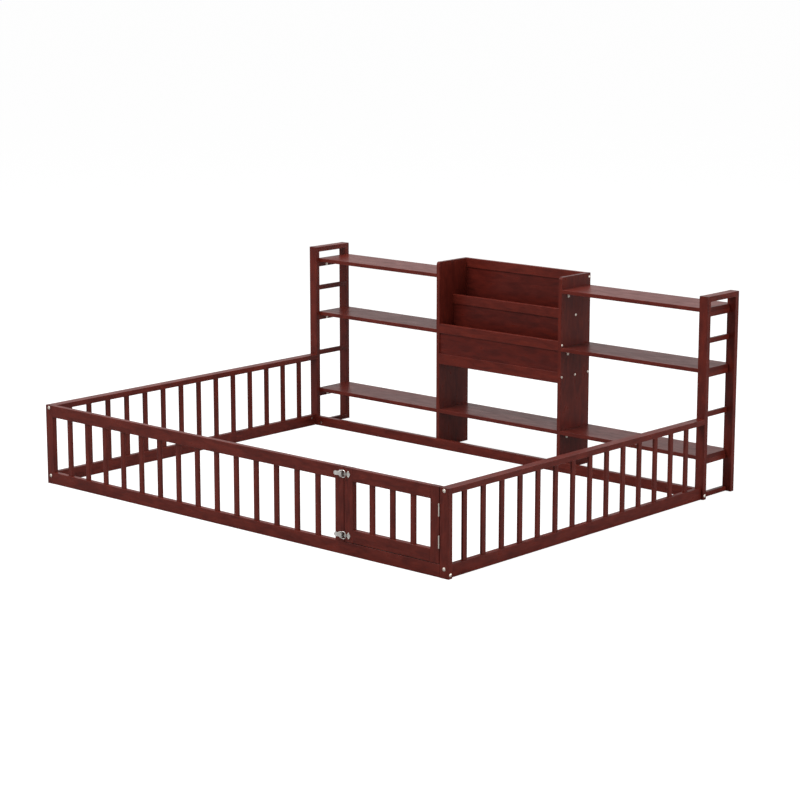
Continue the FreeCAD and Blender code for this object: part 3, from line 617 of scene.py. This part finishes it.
class FasteningTool(NodeTool):
    """Domed head with a driver's recess on a round shank, set on every point along its facing."""

    DOME_RINGS = 9
    HEAD_SIDES = 24
    SHANK_SIDES = 16
    FLAT_TOP_SHARE = 0.03
    CROSS_BAR_SHARE = 0.24

    def __init__(self, recess: Recess) -> None:
        """Builds the tree.

        Args:
            recess: Shape for the driver.
        """
        length = "NodeSocketFloat"
        super().__init__("fastening_" + recess.name.lower(), {
            "Head Radius": (length, 0.006), "Head Height": (length, 0.003), "Crown": (length, 2.6),
            "Shank Radius": (length, 0.003), "Shank Length": (length, 0.02),
            "Recess Width": (length, 0.004), "Recess Depth": (length, 0.0015)})
        tree = self.tree
        deep = add(tree, "ShaderNodeCombineXYZ", inputs={"Z": self.given("Head Height")})
        cutter = add(tree, "GeometryNodeTransform", inputs={
            "Geometry": self.recess_cutter(recess), "Translation": deep})
        sunk = add(tree, "GeometryNodeMeshBoolean", {
            "operation": "DIFFERENCE", "solver": "EXACT"}, {
            "Mesh 1": self.dome(), "Mesh 2": cutter})
        shank = add(tree, "GeometryNodeMeshCylinder", inputs={
            "Vertices": self.SHANK_SIDES, "Radius": self.given("Shank Radius"),
            "Depth": self.given("Shank Length")})
        drop = add(tree, "ShaderNodeMath", {"operation": "MULTIPLY"}, {
            0: self.given("Shank Length"), 1: -0.5})
        low = add(tree, "ShaderNodeCombineXYZ", inputs={"Z": drop})
        stem = add(tree, "GeometryNodeTransform", inputs={"Geometry": shank, "Translation": low})
        whole = add(tree, "GeometryNodeJoinGeometry", inputs={"Geometry": sunk})
        tree.links.new(stem.outputs[0], whole.inputs[0])
        facing = add(tree, "GeometryNodeInputNamedAttribute", {"data_type": "FLOAT_VECTOR"}, {
            "Name": "facing"})
        turn = add(tree, "FunctionNodeAlignRotationToVector", {"axis": "Z"}, {
            "Vector": facing.outputs["Attribute"]})
        self.end(add(tree, "GeometryNodeInstanceOnPoints", inputs={
            "Points": self.given("Geometry"), "Instance": whole, "Rotation": turn}))

    def dome(self) -> bpy.types.Node:
        """Domed head that stands on the XY plane; the crown's power sets how full it is.

        Returns:
            Node with the head's mesh.
        """
        tree = self.tree
        line = add(tree, "GeometryNodeCurvePrimitiveLine", inputs={"End": (0, 0, 1)})
        rings = add(tree, "GeometryNodeResampleCurve", inputs={
            "Curve": line, "Count": self.DOME_RINGS})
        rise = add(tree, "GeometryNodeSplineParameter").outputs["Factor"]
        quarter_turn = add(tree, "ShaderNodeMath", {"operation": "MULTIPLY"}, {
            0: rise, 1: math.pi / 2})
        # Rings crowd towards the top, where the dome turns over.
        eased = add(tree, "ShaderNodeMath", {"operation": "SINE"}, {0: quarter_turn})
        height = add(tree, "ShaderNodeMath", {"operation": "MULTIPLY"}, {
            0: eased, 1: self.given("Head Height")})
        spread = add(tree, "GeometryNodeSetPosition", inputs={
            "Geometry": rings, "Position": add(tree, "ShaderNodeCombineXYZ", inputs={"Z": height})})
        power = add(tree, "ShaderNodeMath", {"operation": "POWER"}, {
            0: eased, 1: self.given("Crown")})
        left = add(tree, "ShaderNodeMath", {"operation": "SUBTRACT"}, {0: 1.0, 1: power})
        kept = add(tree, "ShaderNodeMath", {"operation": "MAXIMUM"}, {
            0: left, 1: self.FLAT_TOP_SHARE})
        root = add(tree, "ShaderNodeMath", {"operation": "DIVIDE"}, {
            0: 1.0, 1: self.given("Crown")})
        share = add(tree, "ShaderNodeMath", {"operation": "POWER"}, {0: kept, 1: root})
        radius = add(tree, "ShaderNodeMath", {"operation": "MULTIPLY"}, {
            0: share, 1: self.given("Head Radius")})
        ring = add(tree, "GeometryNodeCurvePrimitiveCircle", inputs={
            "Resolution": self.HEAD_SIDES, "Radius": 1.0})
        return add(tree, "GeometryNodeCurveToMesh", inputs={
            "Curve": spread, "Profile Curve": ring, "Scale": radius, "Fill Caps": True})

    def recess_cutter(self, recess: Recess) -> bpy.types.Node:
        """Prism or cross, centred on the origin, that cuts the recess.

        Args:
            recess: Shape for the driver.

        Returns:
            Node with the cutter's mesh.
        """
        tree = self.tree
        width = self.given("Recess Width")
        depth = add(tree, "ShaderNodeMath", {"operation": "MULTIPLY"}, {
            0: self.given("Recess Depth"), 1: 2.0})
        if recess is Recess.HEXAGON:
            corner = add(tree, "ShaderNodeMath", {"operation": "MULTIPLY"}, {0: width, 1: 0.5})
            return add(tree, "GeometryNodeMeshCylinder", inputs={
                "Vertices": 6, "Radius": corner, "Depth": depth})
        narrow = add(tree, "ShaderNodeMath", {"operation": "MULTIPLY"}, {
            0: width, 1: self.CROSS_BAR_SHARE})
        whole = add(tree, "GeometryNodeMeshBoolean", {"operation": "UNION", "solver": "EXACT"})
        for wide, deep in ((width, narrow), (narrow, width)):
            size = add(tree, "ShaderNodeCombineXYZ", inputs={"X": wide, "Y": deep, "Z": depth})
            bar = add(tree, "GeometryNodeMeshCube", inputs={"Size": size})
            tree.links.new(bar.outputs[0], whole.inputs["Mesh 2"])
        return whole


@dataclass(frozen=True)
class Workshop:
    """Finishes and node trees that every sub-assembly shares."""

    finishes: Finishes
    slat_tool: SlatTool
    fastening_tools: Mapping[Recess, FasteningTool]

    @classmethod
    def open(cls) -> "Workshop":
        """Builds the finishes and the trees.

        Returns:
            The workshop.
        """
        return cls(Finishes.build(), SlatTool(),
                   {recess: FasteningTool(recess) for recess in Recess})


# Kinds of pieces


@dataclass(frozen=True)
class Timber:
    """Boards that keep their CAD shape, sorted by the way their fibres run."""

    upright: tuple[str, ...] = ()
    across: tuple[str, ...] = ()
    deep: tuple[str, ...] = ()

    def dress(self, finishes: Finishes) -> None:
        """Puts the stained finish on each board, along its own grain.

        Args:
            finishes: Materials.
        """
        for grain, names in ((Grain.UPRIGHT, self.upright), (Grain.ACROSS, self.across),
                             (Grain.DEEP, self.deep)):
            for name in names:
                dress_node(name, finishes.timber[grain])


@dataclass(frozen=True)
class Slats:
    """One row of slats, set again from the solids of its CAD node."""

    node: str
    body: str
    seed: int
    edge: float = 1.5 * MM
    tone_spread: float = 0.05

    def build(self, workshop: Workshop) -> bpy.types.Object:
        """Makes the row, from the first and last slat's places.

        Args:
            workshop: Finishes and trees.

        Returns:
            The dressed row.
        """
        slats = lumps_of(self.node)
        first, last = slats[0], slats[-1]
        start = bpy.data.meshes.new(self.node + "_start")
        made = workshop.slat_tool.run(self.node + "_dressed", start, {
            "Count": len(slats), "Width": first.size.x, "Depth": first.size.y,
            "Height": first.size.z, "Edge": self.edge,
            "First": Vector((first.centre.x, first.centre.y, first.low.z)),
            "Step": (last.centre - first.centre) / (len(slats) - 1), "Seed": self.seed,
            "Tone Spread": self.tone_spread, "Material": workshop.finishes.timber[Grain.UPRIGHT]})
        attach(made, self.body)
        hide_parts(self.node)
        LOG.info("%s: %d slats", made.name, len(slats))
        return made


@dataclass(frozen=True)
class Seat:
    """Where one fastening sits: the surface under its head, and the way that its head faces."""

    point: Vector
    facing: Vector
    head_radius: float
    head_height: float
    shank_radius: float
    shank_length: float

    @classmethod
    def of(cls, lump: Lump) -> "Seat":
        """Reads the place and the sizes of a headed fastening from its solid.

        Args:
            lump: Solid of one bolt or screw.

        Returns:
            Its seat.
        """
        axis = max(range(3), key=lambda way: lump.size[way])
        centre = lump.centre

        def off_axis(point: Vector) -> float:
            """Measures how far a point lies from the fastening's axis.

            Args:
                point: Point of the solid.

            Returns:
                Distance in metres.
            """
            away = point - centre
            away[axis] = 0.0
            return away.length

        widest = max(lump.points, key=off_axis)
        head_radius = off_axis(widest)
        sign = 1.0 if widest[axis] > centre[axis] else -1.0
        facing = Vector(sign * float(way == axis) for way in range(3))
        tail, tip = (lump.low, lump.high) if sign > 0 else (lump.high, lump.low)
        shank_radius = max(off_axis(point) for point in lump.points
                           if abs(point[axis] - tail[axis]) < MEASURING_SLACK)
        level = sign * min(point[axis] * sign for point in lump.points
                           if off_axis(point) > head_radius - MEASURING_SLACK)
        seat = centre.copy()
        seat[axis] = level
        return cls(seat, facing, head_radius, abs(tip[axis] - level), shank_radius,
                   abs(level - tail[axis]))


@dataclass(frozen=True)
class Head:
    """Form of a fastening's head; the recess is given as shares of its radius and of its height."""

    recess: Recess
    recess_share: float
    depth_share: float
    crown: float


BOLT_HEAD = Head(Recess.HEXAGON, recess_share=0.72, depth_share=0.6, crown=2.6)
BRACKET_SCREW_HEAD = Head(Recess.CROSS, recess_share=1.1, depth_share=0.6, crown=2.2)
LATCH_SCREW_HEAD = Head(Recess.CROSS, recess_share=1.2, depth_share=0.6, crown=2.2)


@dataclass(frozen=True)
class Fastenings:
    """Bolts or screws of one kind, set again from the solids of their CAD node."""

    node: str
    body: str
    head: Head

    def build(self, workshop: Workshop) -> list[bpy.types.Object]:
        """Makes the fastenings, one piece for each length of shank.

        Args:
            workshop: Finishes and trees.

        Returns:
            The dressed pieces.
        """
        groups: dict[float, list[Seat]] = {}
        for lump in lumps_of(self.node):
            seat = Seat.of(lump)
            groups.setdefault(round(seat.shank_length, TENTH_MM_DIGITS), []).append(seat)
        parts = []
        for number, (shank_length, seats) in enumerate(sorted(groups.items())):
            points = bpy.data.meshes.new("%s_seats_%d" % (self.node, number))
            points.from_pydata([seat.point for seat in seats], [], [])
            facing = points.attributes.new("facing", "FLOAT_VECTOR", "POINT")
            facing.data.foreach_set("vector", [value for seat in seats for value in seat.facing])
            pattern = seats[0]
            tool = workshop.fastening_tools[self.head.recess]
            parts.append(tool.run("%s_dressed_%d" % (self.node, number), points, {
                "Head Radius": pattern.head_radius, "Head Height": pattern.head_height,
                "Crown": self.head.crown, "Shank Radius": pattern.shank_radius,
                "Shank Length": shank_length,
                "Recess Width": pattern.head_radius * self.head.recess_share,
                "Recess Depth": pattern.head_height * self.head.depth_share,
                "Material": workshop.finishes.zinc}))
            LOG.info("%s: %d fastenings", parts[-1].name, len(seats))
        for part in parts:
            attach(part, self.body)
            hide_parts(self.node)
        return parts


@dataclass(frozen=True)
class Lever:
    """Pressed lever of a toggle latch, with straight sides from the finger tip to the cheeks.

    The waist of the solid is filled out; its start and end count from the tip.
    """

    node: str
    body: str
    waist_start: float = 7.4 * MM
    waist_end: float = 18.8 * MM
    tip_half_width: float = 7.5 * MM
    cheek_half_width: float = 6.5 * MM

    def build(self, finish: bpy.types.Material) -> bpy.types.Object:
        """Makes the lever from a merged copy of its CAD mesh.

        Args:
            finish: Material.

        Returns:
            The dressed lever.
        """
        shape = merged_copy(self.node)
        tip = min(vertex.co.x for vertex in shape.verts)
        heights = [vertex.co.z for vertex in shape.verts]
        middle = (min(heights) + max(heights)) / 2
        for vertex in shape.verts:
            share = (vertex.co.x - tip - self.waist_start) / (self.waist_end - self.waist_start)
            if 0.0 < share < 1.0:
                half = self.tip_half_width + share * (self.cheek_half_width - self.tip_half_width)
                vertex.co.z = middle + math.copysign(half, vertex.co.z - middle)
        for face in shape.faces:
            face.smooth = True
        for edge in shape.edges:
            edge.smooth = edge.calc_face_angle(math.pi) < CREASE_ANGLE
        mesh = bpy.data.meshes.new(self.node + "_dressed")
        shape.to_mesh(mesh)
        shape.free()
        mesh.materials.append(finish)
        made = new_object(self.node + "_dressed", mesh)
        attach(made, self.body)
        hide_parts(self.node)
        LOG.info("%s: %s", made.name, finish.name)
        return made


# Sub-assemblies


@dataclass(frozen=True)
class Fence:
    """Low fence that stands on the floor: posts, rails, slats, corner bolts, nuts and dowels."""

    timber: Timber = Timber(
        upright=("front_left_post", "front_right_post", "front_latch_stile"),
        across=("front_bottom_rail", "front_top_rail", "back_bottom_rail"),
        deep=sided("top_rail", "bottom_rail"))
    rows: tuple[Slats, ...] = (
        Slats("front_slats", "root", seed=3),
        Slats("left_slats", "root", seed=5),
        Slats("right_slats", "root", seed=7))
    bolts: Fastenings = Fastenings("corner_bolts", "root", BOLT_HEAD)
    nuts: str = "barrel_nuts"
    dowels: str = "frame_dowels"

    def build(self, workshop: Workshop) -> None:
        """Dresses the fence and sets its slats and bolts.

        Args:
            workshop: Finishes and trees.
        """
        self.timber.dress(workshop.finishes)
        for row in self.rows:
            row.build(workshop)
        self.bolts.build(workshop)
        dress_node(self.nuts, workshop.finishes.zinc)
        dress_node(self.dowels, workshop.finishes.beech)


@dataclass(frozen=True)
class Gate:
    """Gate at the right end of the fence's front, on two butt hinges."""

    timber: Timber = Timber(
        upright=("gate_latch_stile", "gate_hinge_stile"),
        across=("gate_top_rail", "gate_bottom_rail"))
    row: Slats = Slats("gate_slats", "gate", seed=9)
    dowels: str = "gate_dowels"
    hinges: tuple[str, ...] = ("hinge_post_leaves", "hinge_gate_leaves", "hinge_pins")

    def build(self, workshop: Workshop) -> None:
        """Dresses the gate and its hinges, and sets its slats.

        Args:
            workshop: Finishes and trees.
        """
        self.timber.dress(workshop.finishes)
        self.row.build(workshop)
        dress_node(self.dowels, workshop.finishes.beech)
        for hinge in self.hinges:
            dress_node(hinge, workshop.finishes.zinc)


@dataclass(frozen=True)
class Latches:
    """Two toggle latches that hold the gate: bases, pins, levers, wire loops, hooks and screws."""

    bases: str = "latch_bases"
    bright: tuple[str, ...] = ("latch_pins", "latch_hooks", "upper_latch_loop", "lower_latch_loop")
    levers: tuple[Lever, ...] = (
        Lever("upper_latch_lever", "upper_lever"), Lever("lower_latch_lever", "lower_lever"))
    screws: tuple[Fastenings, ...] = (
        Fastenings("latch_screws", "root", LATCH_SCREW_HEAD),
        Fastenings("hook_screws", "gate", LATCH_SCREW_HEAD))

    def build(self, workshop: Workshop) -> None:
        """Dresses the latches, shapes their levers and sets their screws.

        Args:
            workshop: Finishes and trees.
        """
        # The bases get the darker steel, which is painted shade from the levers over them.
        dress_node(self.bases, workshop.finishes.rolled)
        for piece in self.bright:
            dress_node(piece, workshop.finishes.nickel)
        for lever in self.levers:
            lever.build(workshop.finishes.nickel)
        for kind in self.screws:
            kind.build(workshop)


@dataclass(frozen=True)
class LadderShelves:
    """Ladder at each end of the headboard, and the shelves from it to the book rack."""

    timber: Timber = Timber(
        upright=sided("ladder_front_post", "ladder_back_post"),
        across=sided("lower_shelf", "middle_shelf", "upper_shelf") + ("centre_shelf",),
        deep=sided("ladder_rails") + ("ladder_cleats",))
    brackets: str = "shelf_brackets"
    screws: Fastenings = Fastenings("bracket_screws", "root", BRACKET_SCREW_HEAD)

    def build(self, workshop: Workshop) -> None:
        """Dresses the ladders, shelves and brackets, and sets the brackets' screws.

        Args:
            workshop: Finishes and trees.
        """
        self.timber.dress(workshop.finishes)
        dress_node(self.brackets, workshop.finishes.zinc)
        self.screws.build(workshop)


@dataclass(frozen=True)
class BookRack:
    """Book rack in the middle of the headboard: two side panels and three stepped tiers."""

    timber: Timber = Timber(
        upright=("bookcase_left_side", "bookcase_right_side"),
        across=("front_tier_rails", "middle_tier_rails", "back_tier_rails"))
    thin_panels: tuple[str, ...] = ("tier_panels", "pocket_floors")
    bolts: Fastenings = Fastenings("bookcase_bolts", "root", BOLT_HEAD)

    def build(self, workshop: Workshop) -> None:
        """Dresses the rack and sets its bolts.

        Args:
            workshop: Finishes and trees.
        """
        self.timber.dress(workshop.finishes)
        for panel in self.thin_panels:
            dress_node(panel, workshop.finishes.plywood)
        self.bolts.build(workshop)


# Studio


@dataclass(frozen=True)
class Softbox:
    """Square soft lamp that faces one point."""

    name: str
    place: tuple[float, float, float]
    target: tuple[float, float, float]
    side: float
    watts: float

    def build(self) -> None:
        """Hangs the lamp and turns it to its point."""
        data = bpy.data.lights.new(self.name, "AREA")
        data.size = self.side
        data.energy = self.watts
        lamp = bpy.data.objects.new(self.name, data)
        bpy.context.scene.collection.objects.link(lamp)
        place = Vector(self.place)
        lamp.location = place
        lamp.rotation_euler = (Vector(self.target) - place).to_track_quat("-Z", "Y").to_euler()
        LOG.info("%s: %.0f W", self.name, self.watts)


@dataclass(frozen=True)
class Studio:
    """Plain pale floor, soft lamps, white surroundings and the camera."""

    lamps: tuple[Softbox, ...] = (
        Softbox("front_softbox", (0.6, -5.6, 1.8), (0.0, -0.8, 0.2), 3.2, 60.0),
        Softbox("right_softbox", (5.8, 0.6, 1.0), (0.4, 0.2, 0.3), 1.9, 108.0),
        Softbox("key_softbox", (-1.3, -2.6, 4.6), (0.0, 0.2, 0.3), 2.4, 172.0),
        Softbox("left_softbox", (-6.0, -0.4, 1.2), (0.0, 0.2, 0.3), 2.4, 70.0),
        Softbox("back_softbox", (1.5, 6.0, 1.2), (0.0, 0.6, 0.4), 2.4, 60.0),
        Softbox("top_softbox", (0.2, 0.9, 4.6), (0.0, 0.5, 0.0), 2.6, 110.0))
    floor_reach: float = 60.0
    floor_tones: tuple[str, str] = ("#a0a0a0", "#a4a4a4")
    floor_patches_per_metre: float = 3.0
    floor_roughness: float = 0.9
    floor_lift: float = 0.93
    shadow_share: float = 0.8
    room_light: float = 0.2
    mirrored_light: float = 0.6
    eye: tuple[float, float, float] = (5.7351, -6.3084, 2.0725)
    heading_degrees: float = 41.958
    pitch_degrees: float = 11.545
    focal_pixels: float = 2348.8
    picture_pixels: float = 800.0
    sensor_mm: float = 36.0
    view_reach: float = 200.0

    def build(self) -> None:
        """Makes the floor, the surroundings, the lamps and the camera."""
        self.floor()
        self.surroundings()
        for lamp in self.lamps:
            lamp.build()
        self.camera()

    def floor(self) -> None:
        """Makes the floor: light grey to the bed, white to the eye, with the bed's soft shadow."""
        reach = self.floor_reach
        mesh = bpy.data.meshes.new("studio_floor")
        corners = [(x * reach, y * reach, 0.0) for x, y in ((-1, -1), (1, -1), (1, 1), (-1, 1))]
        mesh.from_pydata(corners, [], [(0, 1, 2, 3)])
        floor = new_object("studio_floor", mesh)
        # Matt paint scatters all light, so the floor shows no reflection of the bed.
        made = new_material("matt_white_painted_floor")
        tree = made.node_tree
        shader = tree.nodes["Principled BSDF"]
        shader.inputs["Roughness"].default_value = self.floor_roughness
        shader.inputs["Specular IOR Level"].default_value = 0.0
        shader.inputs["Emission Color"].default_value = linear(WHITE)
        place = add(tree, "ShaderNodeTexCoord")
        mottle = add(tree, "ShaderNodeTexNoise", inputs={
            "Vector": place.outputs["Object"], "Scale": self.floor_patches_per_metre})
        tone = add(tree, "ShaderNodeMix", {"data_type": "RGBA"}, {
            0: mottle.outputs["Fac"], 1: linear(self.floor_tones[0]),
            2: linear(self.floor_tones[1])})
        path = add(tree, "ShaderNodeLightPath")
        # The eye sees mostly the lift; the share of paint left under it carries a faint shadow.
        lift = add(tree, "ShaderNodeMath", {"operation": "MULTIPLY"}, {
            0: path.outputs["Is Camera Ray"], 1: self.floor_lift})
        kept = add(tree, "ShaderNodeMath", {"operation": "MULTIPLY_ADD"}, {
            0: path.outputs["Is Camera Ray"], 1: self.shadow_share - 1.0, 2: 1.0})
        dimmed = add(tree, "ShaderNodeVectorMath", {"operation": "SCALE"}, {0: tone, 1: kept})
        tree.links.new(dimmed.outputs["Vector"], shader.inputs["Base Color"])
        tree.links.new(lift.outputs["Value"], shader.inputs["Emission Strength"])
        mesh.materials.append(made)
        LOG.info("%s: %s", floor.name, made.name)

    def surroundings(self) -> None:
        """Makes the world: white to the eye, and dimmer where it lights or is mirrored."""
        world = bpy.data.worlds.new("white_studio")
        bpy.context.scene.world = world
        world.use_nodes = True
        tree = world.node_tree
        tree.nodes.clear()
        path = add(tree, "ShaderNodeLightPath")
        mirrored = add(tree, "ShaderNodeMath", {"operation": "MAXIMUM"}, {
            0: path.outputs["Is Glossy Ray"], 1: path.outputs["Is Transmission Ray"]})
        unseen = add(tree, "ShaderNodeMix", {"data_type": "FLOAT"}, {
            0: mirrored, 1: self.room_light, 2: self.mirrored_light})
        strength = add(tree, "ShaderNodeMix", {"data_type": "FLOAT"}, {
            0: path.outputs["Is Camera Ray"], 1: unseen, 2: 1.0})
        light = add(tree, "ShaderNodeBackground", inputs={
            "Color": linear(WHITE), "Strength": strength})
        add(tree, "ShaderNodeOutputWorld", inputs={"Surface": light})
        LOG.info("%s: surroundings", world.name)

    def camera(self) -> None:
        """Sets the camera at the photograph's viewpoint."""
        data = bpy.data.cameras.new("photograph_camera")
        data.sensor_width = self.sensor_mm
        data.lens = self.focal_pixels * self.sensor_mm / self.picture_pixels
        data.clip_end = self.view_reach
        camera = bpy.data.objects.new("photograph_camera", data)
        bpy.context.scene.collection.objects.link(camera)
        camera.location = self.eye
        camera.rotation_euler = (
            math.radians(90.0 - self.pitch_degrees), 0.0, math.radians(self.heading_degrees))
        bpy.context.scene.camera = camera
        LOG.info("%s: lens %.1f mm", camera.name, data.lens)


def main() -> None:
    """Builds and dresses the bed, then the studio."""
    logging.basicConfig(level=logging.INFO, format="%(name)s: %(message)s")
    bpy.context.scene.view_settings.view_transform = "Standard"
    workshop = Workshop.open()
    for assembly in (Fence(), Gate(), Latches(), LadderShelves(), BookRack()):
        LOG.info("next: %s", type(assembly).__name__)
        assembly.build(workshop)
    Studio().build()


if __name__ == "__main__":
    main()
